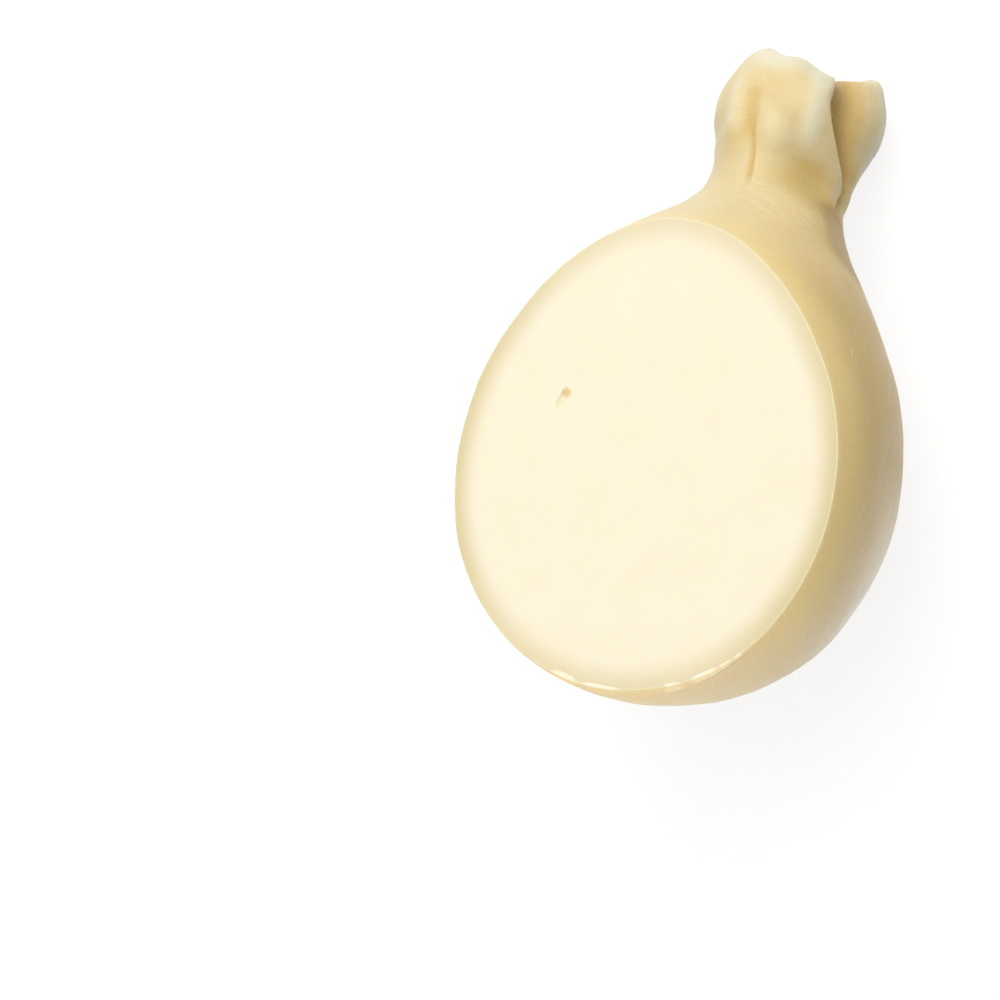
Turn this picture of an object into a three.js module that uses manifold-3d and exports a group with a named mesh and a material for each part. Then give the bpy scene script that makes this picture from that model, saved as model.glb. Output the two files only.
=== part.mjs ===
// A pear-shaped stretched-curd cheese with a tied neck and a folded head, lying on its side.
// One slanting cut has taken a piece away, and the flat pale face that it left looks up.
// Millimetres, +Z up. The head points to +Y, and the origin is under the middle of the part's box.

import * as THREE from 'three';
import { mergeVertices } from 'three/addons/utils/BufferGeometryUtils.js';
import Module from 'manifold-3d';

const wasm = await Module();
wasm.setup();

const { degToRad, euclideanModulo, lerp, radToDeg, smoothstep } = THREE.MathUtils;

// Driving dimensions. While the cheese is shaped it stands upright: heights are measured along its
// axis from the middle of the belly, and bearings are degrees about that axis.
const BELLY = { radius: 70.3, arcEnd: 116 };        // round over this angle from the bottom pole
const SHOULDER = { radius: 48.6, height: 57.8 };
const NECK_SLOPE = { radius: 30.2, height: 81.5 };
const WAIST = { radius: 22.4, height: 99 };
const HEAD_SWELL = { radius: 24, height: 109 };
const HEAD_WIDEST = { radius: 26.1, height: 122 };
const HEAD_SHOULDER = { radius: 24.6, height: 133 };
const HEAD_RIM = { radius: 19, height: 141 };
const PIT = { radius: 10, height: 139.5, floor: 133 };

const NECK_BEND = { shift: 7.2, from: 74, to: 122 };            // the head leans to bearing -90

// The rim of the head dips at the deep crease and rises on the small lobe beside it.
const RIM_FROM = 122;
const RIM_WAVES = [
  { rise: 7, bearing: 86, spread: 46 },
  { rise: -5.5, bearing: 5, spread: 26 },
  { rise: 2.5, bearing: -56, spread: 14 },
];

// Folds of the head: each is a groove (rise below 0) or a ridge that climbs between two heights
// while its bearing turns. It fades over a height at either end, where 0 runs it over the rim, and
// its half width in degrees, before and after its middle, is given low down and high up.
const FOLDS = {
  deepCrease: {
    heights: [100, 134], bearings: [65, 17], fades: [10, 0],
    before: [4, 5], after: [7, 26], rise: -7.5,
  },
  neckFill: {
    heights: [90, 114], bearings: [-38, -38], fades: [14, 14],
    before: [28, 28], after: [27, 27], rise: 2,
  },
  fineCrease: {
    heights: [91, 122], bearings: [-26, -33], fades: [5, 10],
    before: [4, 5], after: [3, 4], rise: -1.5,
  },
  hollow: {
    heights: [114, 138], bearings: [-28, -32], fades: [12, 6],
    before: [17, 17], after: [14, 17], rise: -2.4,
  },
  outerRidge: {
    heights: [106, 138], bearings: [-48, -66], fades: [8, 8],
    before: [10, 10], after: [9, 9], rise: 0.9,
  },
  swell: {
    heights: [104, 123], bearings: [-13, -15], fades: [8, 8],
    before: [11, 11], after: [12, 12], rise: 1.2,
  },
  innerValley: {
    heights: [114, 136], bearings: [4, -11], fades: [8, 0],
    before: [6, 6], after: [6, 6], rise: -1.2,
  },
  innerRidge: {
    heights: [116, 136], bearings: [15, -2], fades: [9, 0],
    before: [5, 5], after: [6, 6], rise: 1.1,
  },
  throat: {
    heights: [95, 110], bearings: [24, 24], fades: [8, 8],
    before: [17, 17], after: [19, 19], rise: -2.2,
  },
  backCrease: {
    heights: [98, 136], bearings: [-150, -172], fades: [9, 0],
    before: [12, 20], after: [5, 6], rise: -5.5,
  },
  sideCrease: {
    heights: [98, 134], bearings: [-116, -124], fades: [8, 0],
    before: [6, 6], after: [9, 12], rise: -2,
  },
};

const CUT = { distance: 17, bearing: -38.9, slant: -24 };       // its plane, from the belly's middle
const EYE = { along: 18.2, across: 30.8, radius: 1.5, depth: 4.5 };   // a small hole in the cut face

// As the cheese lies: the bearing that looks up, how far the head dips, and the flat under it.
const REST = { bearingUp: -43.7, headDip: 22.6, flatDepth: 0.8 };

const BELLY_RINGS = 26;
const RINGS_PER_SPAN = 5;
const COLUMNS = 72;
const CUTTER_SIZE = 400;

const RIND = { color: 0xe3cb93, roughness: 0.5, metalness: 0 };

// The profile, from the bottom pole over belly, neck and head to the floor of the pit.
function profilePoints() {
  const onBelly = (angle) => new THREE.Vector2(
    BELLY.radius * Math.sin(degToRad(angle)),
    -BELLY.radius * Math.cos(degToRad(angle)),
  );
  const points = [];
  for (let ring = 0; ring < BELLY_RINGS; ring += 1) {
    points.push(onBelly((BELLY.arcEnd * ring) / BELLY_RINGS));
  }

  const stations = [SHOULDER, NECK_SLOPE, WAIST, HEAD_SWELL, HEAD_WIDEST, HEAD_SHOULDER, HEAD_RIM, PIT];
  const leadIn = onBelly(BELLY.arcEnd - 20);
  const upper = new THREE.SplineCurve([
    leadIn,
    onBelly(BELLY.arcEnd),
    ...stations.map(({ radius, height }) => new THREE.Vector2(radius, height)),
    new THREE.Vector2(0, PIT.floor),
  ]);
  const spans = upper.points.length - 1;
  const steps = spans * RINGS_PER_SPAN;
  for (let step = RINGS_PER_SPAN; step <= steps; step += 1) {
    points.push(upper.getPoint(step / steps));
  }
  points[0].x = 0;
  points[points.length - 1].x = 0;
  return points;
}

function turnBetween(bearing, other) {
  return euclideanModulo(bearing - other + 180, 360) - 180;
}

// How far one fold moves the surface out at a bearing and a height.
function foldRise(fold, bearing, height) {
  const [low, high] = fold.heights;
  const [opens, closes] = fold.fades;
  const climb = smoothstep(height, low, high);
  const turn = turnBetween(bearing, lerp(...fold.bearings, climb));
  const width = lerp(...(turn < 0 ? fold.before : fold.after), climb);
  const opening = smoothstep(height, low - opens / 2, low + opens / 2);
  const closing = closes > 0 ? 1 - smoothstep(height, high - closes, high) : 1;
  return fold.rise * Math.exp(-((turn / width) ** 2)) * opening * closing;
}

// Moves a point of the plain lathe shape to where the bent neck and the folds put it.
function foldPoint(point) {
  const radius = Math.hypot(point.x, point.y);
  const bearing = radToDeg(Math.atan2(point.y, point.x));
  const hold = smoothstep(radius, 0, HEAD_RIM.radius);
  let rise = 0;
  for (const fold of Object.values(FOLDS)) {
    rise += foldRise(fold, bearing, point.z);
  }
  const reach = radius + rise * hold;
  const lean = smoothstep(point.z, NECK_BEND.from, NECK_BEND.to) * NECK_BEND.shift;
  const rimward = hold * smoothstep(point.z, RIM_FROM, HEAD_RIM.height);
  let lift = 0;
  for (const wave of RIM_WAVES) {
    lift += wave.rise * rimward * Math.exp(-((turnBetween(bearing, wave.bearing) / wave.spread) ** 2));
  }
  point.set(
    reach * Math.cos(degToRad(bearing)),
    reach * Math.sin(degToRad(bearing)) - lean,
    point.z + lift,
  );
}

// A closed geometry as a solid for cutting: shared corners merged, collapsed triangles dropped.
function toSolid(geometry) {
  geometry.deleteAttribute('normal');
  geometry.deleteAttribute('uv');
  const merged = mergeVertices(geometry, 1e-4);
  const corners = merged.index.array;
  const triangles = [];
  for (let i = 0; i < corners.length; i += 3) {
    const [a, b, c] = [corners[i], corners[i + 1], corners[i + 2]];
    if (a !== b && b !== c && c !== a) triangles.push(a, b, c);
  }
  return new wasm.Manifold(new wasm.Mesh({
    numProp: 3,
    vertProperties: Float32Array.from(merged.attributes.position.array),
    triVerts: Uint32Array.from(triangles),
  }));
}

function toGeometry(solid) {
  const mesh = solid.getMesh();
  const geometry = new THREE.BufferGeometry();
  geometry.setAttribute('position', new THREE.BufferAttribute(mesh.vertProperties, 3));
  geometry.setIndex(new THREE.BufferAttribute(mesh.triVerts, 1));
  geometry.computeVertexNormals();
  return geometry;
}

// The whole cheese, standing upright about the middle of its belly.
function wholeCheese() {
  const geometry = new THREE.LatheGeometry(profilePoints(), COLUMNS);
  geometry.rotateX(Math.PI / 2);
  const position = geometry.attributes.position;
  const point = new THREE.Vector3();
  for (let i = 0; i < position.count; i += 1) {
    foldPoint(point.fromBufferAttribute(position, i));
    position.setXYZ(i, point.x, point.y, point.z);
  }
  return toSolid(geometry);
}

// Frame of the cut face: its middle, its normal, and the direction on it that climbs to the head.
function cutFrame() {
  const normal = new THREE.Vector3(1, 0, 0)
    .applyAxisAngle(new THREE.Vector3(0, 1, 0), -degToRad(CUT.slant))
    .applyAxisAngle(new THREE.Vector3(0, 0, 1), degToRad(CUT.bearing));
  const along = new THREE.Vector3(0, 0, 1).projectOnPlane(normal).normalize();
  const across = new THREE.Vector3().crossVectors(normal, along);
  const basis = new THREE.Matrix4().makeBasis(along, across, normal);
  return basis.setPosition(normal.clone().multiplyScalar(CUT.distance));
}

// What the knife took: everything beyond the plane of the cut.
function cutAway() {
  const block = new THREE.BoxGeometry(CUTTER_SIZE, CUTTER_SIZE, CUTTER_SIZE);
  block.translate(0, 0, CUTTER_SIZE / 2);
  return toSolid(block.applyMatrix4(cutFrame()));
}

// The eye in the paste, a small hole that opens in the cut face.
function eyeHole() {
  const hole = new THREE.SphereGeometry(EYE.radius, 12, 8);
  hole.scale(1.2, 1, EYE.depth / EYE.radius);
  hole.translate(EYE.along, EYE.across, 0);
  return toSolid(hole.applyMatrix4(cutFrame()));
}

// Lays an upright geometry on its side, with the head towards +Y and dipping.
function layDown(geometry) {
  geometry.rotateZ(-Math.PI / 2 - degToRad(REST.bearingUp));
  geometry.rotateX(-Math.PI / 2 - degToRad(REST.headDip));
  return geometry;
}

// Cuts the small flats on which the belly and the head rest.
function flattenUnderside(geometry) {
  geometry.computeBoundingBox();
  const block = new THREE.BoxGeometry(CUTTER_SIZE, CUTTER_SIZE, CUTTER_SIZE);
  block.translate(0, 0, geometry.boundingBox.min.z + REST.flatDepth - CUTTER_SIZE / 2);
  return toGeometry(toSolid(geometry).subtract(toSolid(block)));
}

function cheeseMesh() {
  const cheese = wholeCheese().subtract(cutAway()).subtract(eyeHole());
  const geometry = flattenUnderside(layDown(toGeometry(cheese)));
  geometry.computeBoundingBox();
  const { min, max } = geometry.boundingBox;
  const mesh = new THREE.Mesh(geometry, new THREE.MeshStandardMaterial(RIND));
  mesh.name = 'cheese';
  mesh.position.set(-(min.x + max.x) / 2, -(min.y + max.y) / 2, -min.z);
  return mesh;
}

const part = new THREE.Group();
part.add(cheeseMesh());

export default part;
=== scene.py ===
"""A cut stretched-curd cheese with a tied neck and a folded head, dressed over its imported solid.

The cheese is modelled upright in millimetres about the middle of its belly, with heights along its
axis and bearings in degrees about it. It is then laid on its side, in metres, where the solid lies.
"""

import logging
import math
from dataclasses import dataclass, field
from enum import Enum, IntEnum
from typing import Any

import bpy
import numpy as np
from mathutils import Matrix, Vector, noise
from mathutils.kdtree import KDTree


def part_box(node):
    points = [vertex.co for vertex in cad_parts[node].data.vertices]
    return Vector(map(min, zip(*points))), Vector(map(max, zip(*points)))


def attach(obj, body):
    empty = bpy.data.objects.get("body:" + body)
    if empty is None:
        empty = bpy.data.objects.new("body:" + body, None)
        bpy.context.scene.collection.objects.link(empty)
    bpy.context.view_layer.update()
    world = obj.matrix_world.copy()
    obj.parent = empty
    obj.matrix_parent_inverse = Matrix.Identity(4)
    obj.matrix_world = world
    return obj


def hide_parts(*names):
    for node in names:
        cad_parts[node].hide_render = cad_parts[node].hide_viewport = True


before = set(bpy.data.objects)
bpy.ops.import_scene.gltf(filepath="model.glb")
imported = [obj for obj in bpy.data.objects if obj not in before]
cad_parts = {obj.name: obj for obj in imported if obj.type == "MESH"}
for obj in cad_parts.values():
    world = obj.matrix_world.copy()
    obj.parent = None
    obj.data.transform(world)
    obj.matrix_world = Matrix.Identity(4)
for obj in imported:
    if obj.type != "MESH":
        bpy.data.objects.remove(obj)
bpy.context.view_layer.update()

LOG = logging.getLogger("cheese")
CAD_NODE = "cheese"
BODY = "root"
MM = 0.001

# Lumps: how finer layers fade, how much finer each one is, and how many there are
LUMP_LAYERS = (1.0, 2.0, 3)

Pair = tuple[float, float]
Triple = tuple[float, float, float]
Colour = Triple


class Zone(IntEnum):
    """Material slots of the cheese."""

    RIND = 0
    PASTE = 1
    BURR = 2


class Mark(str, Enum):
    """Point attributes that the finishes read."""

    GRAIN = "grain"
    # Painted light above 0 and painted shade below 0, which the folds leave.
    TONE = "tone"
    EDGE = "edge"
    CRUMB = "crumb"
    DEPTH = "depth"


# Helpers for meshes and numbers


def smoothstep(values: np.ndarray, low: float, high: float) -> np.ndarray:
    """Eases values from 0 at low to 1 at high."""
    share = np.clip((values - low) / (high - low), 0.0, 1.0)
    return share * share * (3.0 - 2.0 * share)


def turn_between(bearing: np.ndarray, other: np.ndarray | float) -> np.ndarray:
    """Gives the turn to a bearing from another one, from -180 to 180 degrees."""
    return np.mod(bearing - other + 180.0, 360.0) - 180.0


def lumps(points: np.ndarray, size: float, shift: float) -> np.ndarray:
    """Gives points smooth unevenness, mostly from -1 to 1; a shift makes two layers differ."""
    offset = Vector((shift, -shift, 2.0 * shift))
    return np.array([noise.fractal(Vector(p) / size + offset, *LUMP_LAYERS) for p in points])


def positions(mesh: bpy.types.Mesh) -> np.ndarray:
    """Reads the vertices of a mesh.

    Args:
        mesh: The mesh.

    Returns:
        One row of three numbers a vertex.
    """
    values = np.empty(len(mesh.vertices) * 3, dtype=np.float32)
    mesh.vertices.foreach_get("co", values)
    return values.reshape(-1, 3).astype(float)


def set_positions(mesh: bpy.types.Mesh, points: np.ndarray) -> None:
    """Writes rows of three numbers to the vertices of a mesh."""
    mesh.vertices.foreach_set("co", points.astype(np.float32).ravel())
    mesh.update()


def store(mesh: bpy.types.Mesh, mark: Mark, values: np.ndarray) -> None:
    """Keeps one value a vertex as a point attribute.

    Args:
        mesh: The mesh that gets the attribute.
        mark: The attribute's name.
        values: One number a vertex, or one row of three.
    """
    vector = values.ndim == 2
    kind = "FLOAT_VECTOR" if vector else "FLOAT"
    kept = mesh.attributes.get(mark.value) or mesh.attributes.new(mark.value, kind, "POINT")
    kept.data.foreach_set("vector" if vector else "value", values.astype(np.float32).ravel())


def edit(piece: bpy.types.Object) -> None:
    """Opens one piece alone in edit mode, with nothing selected in it.

    Args:
        piece: The piece.
    """
    select_only(piece)
    bpy.ops.object.mode_set(mode="EDIT")
    bpy.ops.mesh.select_all(action="DESELECT")


def close_edit() -> None:
    """Goes back to object mode."""
    bpy.ops.object.mode_set(mode="OBJECT")


def select_only(piece: bpy.types.Object) -> None:
    """Makes one piece the active object and the only selected one.

    Args:
        piece: The piece.
    """
    bpy.ops.object.select_all(action="DESELECT")
    piece.select_set(True)
    bpy.context.view_layer.objects.active = piece


# The shape


@dataclass(frozen=True)
class Profile:
    """The outline that is spun: a round belly, then one smooth line over neck and head to a pit.

    Stations give the line's radius and height. Heel is how much longer the belly's lower half is
    than a round one.
    """

    belly: float = 70.3
    heel: float = 1.019
    arc_end: float = 116.0
    lead_in: float = 20.0
    stations: tuple[Pair, ...] = (
        (48.6, 57.8),
        (30.2, 81.5),
        (22.4, 99.0),
        (24.0, 109.0),
        (26.1, 122.0),
        (24.6, 133.0),
        (19.0, 141.0),
        (10.0, 139.5),
        (0.0, 133.0),
    )
    belly_rings: int = 72
    span_rings: tuple[int, ...] = (18, 18, 18, 18, 24, 20, 16, 8, 8)

    def on_belly(self, angle: float) -> np.ndarray:
        """Gives a point of the belly.

        Args:
            angle: Degrees from the bottom pole.

        Returns:
            Its radius and height.
        """
        turn = math.radians(angle)
        drop = self.belly * math.cos(turn)
        return np.array((self.belly * math.sin(turn), -max(drop, self.heel * drop)))

    def points(self) -> list[Vector]:
        """Works out the outline from the bottom pole to the floor of the pit.

        Returns:
            Points in the plane y = 0.
        """
        outline = [self.on_belly(self.arc_end * i / self.belly_rings) for i in range(self.belly_rings)]
        knots = [self.on_belly(self.arc_end - self.lead_in), self.on_belly(self.arc_end)]
        knots += [np.array(station) for station in self.stations]
        knots.append(knots[-1])
        spans = zip(knots, knots[1:], knots[2:], knots[3:], self.span_rings)
        for before, start, end, after, rings in spans:
            leave, arrive = (end - before) / 2.0, (after - start) / 2.0
            for ring in range(rings):
                t = ring / rings
                outline.append(
                    (2.0 * start - 2.0 * end + leave + arrive) * t**3
                    + (3.0 * end - 3.0 * start - 2.0 * leave - arrive) * t**2
                    + leave * t
                    + start
                )
        outline.append(knots[-1])
        return [Vector((radius, 0.0, height)) for radius, height in outline]


@dataclass(frozen=True)
class Fold:
    """A groove or ridge of the skin, or a patch of painted light or shade on it, that climbs between
    two heights while its bearing turns.

    Its half width in degrees, before and after its middle, is given low down and high up. It fades
    over a height at either end, and 0 runs it over the rim. Rise is in millimetres. Tone is the
    painted light or shade that it leaves: above 0 paler, as a painted highlight, below 0 more tan, as
    painted shade. A pace below 1 makes it turn sooner.
    """

    heights: Pair
    bearings: Pair
    fades: Pair
    before: Pair
    after: Pair
    rise: float = 0.0
    tone: float = 0.0
    pace: float = 1.0

    def shape(self, bearing: np.ndarray, height: np.ndarray) -> np.ndarray:
        """Says how strongly the fold shows at each place.

        Args:
            bearing: Bearings in degrees.
            height: Heights in millimetres.

        Returns:
            Numbers from 0 to 1.
        """
        low, high = self.heights
        opens, closes = self.fades
        climb = smoothstep(height, low, high) ** self.pace
        turn = turn_between(bearing, np.interp(climb, (0.0, 1.0), self.bearings))
        before, after = (np.interp(climb, (0.0, 1.0), ends) for ends in (self.before, self.after))
        width = np.where(turn < 0.0, before, after)
        shown = np.exp(-((turn / width) ** 2)) * smoothstep(height, low - opens / 2, low + opens / 2)
        if closes > 0.0:
            shown = shown * (1.0 - smoothstep(height, high - closes, high))
        return shown


@dataclass(frozen=True)
class Wave:
    """A rise or dip of the head's rim about one bearing, in millimetres and degrees."""

    rise: float
    bearing: float
    spread: float


@dataclass
class Body:
    """The whole cheese as one spun and folded skin, standing upright."""

    profile: Profile = field(default_factory=Profile)
    columns: int = 400
    neck_shift: float = 7.2
    neck_bend: Pair = (74.0, 122.0)
    rim_radius: float = 19.0
    rim_heights: Pair = (122.0, 141.0)
    waves: tuple[Wave, ...] = (
        Wave(7.0, 86.0, 46.0),
        Wave(-5.5, 5.0, 26.0),
        Wave(3.0, -74.0, 13.0),
        Wave(0.6, -55.0, 8.0),
        Wave(-1.7, -42.0, 20.0),
        Wave(1.2, 20.0, 10.0),
        Wave(-0.8, 42.0, 9.0),
        Wave(-0.7, 54.0, 8.0),
        Wave(1.3, 66.0, 8.0),
    )
    # Rises shape the skin. Tones below 0 are painted shade in creases, hollows, the throat and the
    # shaded sides of head and neck; tones above 0 are painted highlights on ridges, the swell and thin
    # rims.
    folds: dict[str, Fold] = field(
        default_factory=lambda: {
            "deep_crease": Fold(
                (103, 128), (62, 18), (8, 0), (4, 5), (7, 26), rise=-7.5, tone=-1.25, pace=0.62
            ),
            "crease_end": Fold(
                (95, 106), (53, 62), (6, 6), (4, 5), (9, 9), rise=-2.6, tone=-0.7
            ),
            "front_lip": Fold((96, 111), (40, 43), (8, 8), (12, 12), (8, 8), rise=0.9),
            "neck_fill": Fold((90, 114), (-38, -38), (14, 14), (28, 28), (27, 27), rise=2.0),
            "left_fill": Fold((100, 114), (-62, -62), (8, 8), (14, 14), (12, 12), rise=0.6),
            "left_shoulder": Fold((70, 82), (-64, -64), (8, 8), (24, 24), (24, 24), rise=0.4),
            "left_waist": Fold((106, 118), (-90, -90), (10, 8), (30, 30), (24, 24), rise=-1.2),
            "left_pinch": Fold((86, 102), (-84, -84), (10, 11), (26, 26), (24, 24), rise=-0.65),
            "left_cheek": Fold((122, 141), (-84, -70), (14, 6), (18, 18), (16, 16), rise=0.6),
            "right_waist": Fold((80, 102), (66, 66), (10, 10), (28, 28), (26, 26), rise=-0.65),
            "lobe_waist": Fold((107, 127), (86, 86), (8, 8), (30, 30), (34, 34), rise=-1.0),
            "lobe_corner": Fold((126, 138), (72, 72), (6, 6), (24, 24), (28, 28), rise=1.1),
            "fine_crease": Fold(
                (89, 118), (-30, -37.5), (3, 16), (3, 5), (1.2, 1.7), rise=-0.35, tone=-0.7
            ),
            "groove": Fold(
                (106, 127), (-42, -48), (8, 8), (8, 8), (8, 9), rise=-1.0, tone=-0.5
            ),
            "hollow": Fold(
                (117, 136), (-26, -30), (8, 8), (18, 18), (16, 16), rise=-1.6, tone=-0.2
            ),
            "outer_ridge": Fold(
                (108, 132), (-60, -60), (8, 10), (8, 8), (7, 7), rise=0.8, tone=0.6
            ),
            "swell": Fold(
                (101, 121), (-17, -20), (10, 11), (16, 16), (16, 16), rise=1.9, tone=0.35
            ),
            "inner_valley": Fold(
                (110, 134), (-5, -11), (8, 4), (8, 8), (6, 6), rise=-0.1, tone=-0.1
            ),
            "inner_ridge": Fold(
                (108, 136), (6, 1), (12, 0), (9, 9), (9, 9), rise=0.6, tone=0.75
            ),
            "throat": Fold((87, 104), (12, 20), (10, 8), (27, 24), (26, 24), rise=-1.2),
            "throat_shade": Fold((90, 108), (9, 17), (10, 6), (27, 24), (26, 24), tone=-0.64),
            "right_shade": Fold((72, 100), (44, 48), (18, 8), (24, 20), (46, 46), tone=-1.5),
            "rim_highlight": Fold((131, 141), (-44, -44), (14, 0), (34, 34), (45, 45), tone=1.0),
            "lobe_highlight": Fold((120, 141), (77, 75), (14, 0), (14, 24), (20, 20), tone=1.0),
            "lobe_shade": Fold((108, 120), (68, 68), (8, 8), (14, 14), (16, 16), tone=-0.4),
            "left_shade": Fold((94, 114), (-62, -62), (8, 8), (26, 26), (24, 24), tone=-0.2),
            "left_flat": Fold((-12, 46), (-106, -106), (24, 24), (28, 28), (24, 24), rise=-1.1),
            "left_heel": Fold((-62, -16), (-132, -132), (18, 24), (30, 30), (28, 28), rise=1.2),
            "right_brow": Fold((26, 64), (64, 64), (22, 20), (26, 26), (26, 26), rise=1.3),
            "right_heel": Fold((-58, -14), (97, 97), (18, 20), (26, 26), (26, 26), rise=1.0),
            "back_crease": Fold(
                (98, 136), (-150, -172), (9, 0), (12, 20), (5, 6), rise=-5.5, tone=-0.8
            ),
            "side_crease": Fold(
                (98, 134), (-116, -124), (8, 0), (6, 6), (9, 12), rise=-2.0, tone=-0.4
            ),
        }
    )
    lump_size: float = 17.0
    lump_rise: float = 0.22
    lump_shift: float = 3.0
    pucker_size: float = 5.0
    pucker_rise: float = 0.06
    pucker_shift: float = 11.0
    pucker_from: Pair = (70.0, 100.0)
    merge_gap: float = 0.01

    def build(self) -> bpy.types.Object:
        """Spins the outline, folds the skin and makes it slightly uneven.

        Returns:
            The whole cheese.
        """
        skin = self.spin_outline()
        self.fold_skin(skin)
        self.roughen(skin)
        return skin

    def spin_outline(self) -> bpy.types.Object:
        """Extrudes one corner along the outline and spins it round the axis.

        Returns:
            A closed, plain round shape.
        """
        outline = self.profile.points()
        bpy.ops.mesh.primitive_plane_add(size=1.0)
        skin = bpy.context.object
        skin.name = skin.data.name = "cheese_skin"
        bpy.ops.object.mode_set(mode="EDIT")
        bpy.ops.mesh.select_all(action="SELECT")
        bpy.ops.mesh.merge(type="CENTER")
        bpy.ops.transform.translate(value=outline[0])
        for start, end in zip(outline, outline[1:]):
            bpy.ops.mesh.extrude_region_move(TRANSFORM_OT_translate={"value": end - start})
        bpy.ops.mesh.select_all(action="SELECT")
        bpy.ops.mesh.spin(
            steps=self.columns, angle=math.tau, center=(0.0, 0.0, 0.0), axis=(0.0, 0.0, 1.0)
        )
        bpy.ops.mesh.select_all(action="SELECT")
        bpy.ops.mesh.remove_doubles(threshold=self.merge_gap)
        bpy.ops.mesh.normals_make_consistent(inside=False)
        close_edit()
        return skin

    def fold_skin(self, skin: bpy.types.Object) -> None:
        """Bends the neck, folds the skin, paints light and shade on it as tone, and keeps where each
        point came from.

        Args:
            skin: The plain round shape.
        """
        x, y, height = positions(skin.data).T
        radius = np.hypot(x, y)
        turn = np.arctan2(y, x)
        bearing = np.degrees(turn)
        hold = smoothstep(radius, 0.0, self.rim_radius)
        rise = np.zeros_like(radius)
        tone = np.zeros_like(radius)
        for fold in self.folds.values():
            shown = fold.shape(bearing, height) * hold
            rise += fold.rise * shown
            # Each fold's tone adds painted light or painted shade.
            tone += fold.tone * shown
        rimward = hold * smoothstep(height, *self.rim_heights)
        lift = sum(
            wave.rise * rimward * np.exp(-((turn_between(bearing, wave.bearing) / wave.spread) ** 2))
            for wave in self.waves
        )
        lean = smoothstep(height, *self.neck_bend) * self.neck_shift
        reach = radius + rise
        points = np.stack(
            (reach * np.cos(turn), reach * np.sin(turn) - lean, height + lift), axis=1
        )
        set_positions(skin.data, points)
        store(skin.data, Mark.GRAIN, np.stack((np.cos(turn), np.sin(turn), height), axis=1))
        store(skin.data, Mark.TONE, tone)

    def roughen(self, skin: bpy.types.Object) -> None:
        """Gives the skin low lumps all over and finer puckers towards the head.

        Args:
            skin: The folded shape.
        """
        points = positions(skin.data)
        normals = np.array([vertex.normal for vertex in skin.data.vertices])
        drawn = smoothstep(points[:, 2], *self.pucker_from)
        out = self.lump_rise * lumps(points, self.lump_size, self.lump_shift)
        out += self.pucker_rise * drawn * lumps(points, self.pucker_size, self.pucker_shift)
        set_positions(skin.data, points + normals * out[:, None])


@dataclass(frozen=True)
class Fleck:
    """A thicker crumb of the burr: its bearing on the cut face, half length, and reach to each side."""

    bearing: float
    half_turn: float
    inward: float
    outward: float = 0.2


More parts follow.
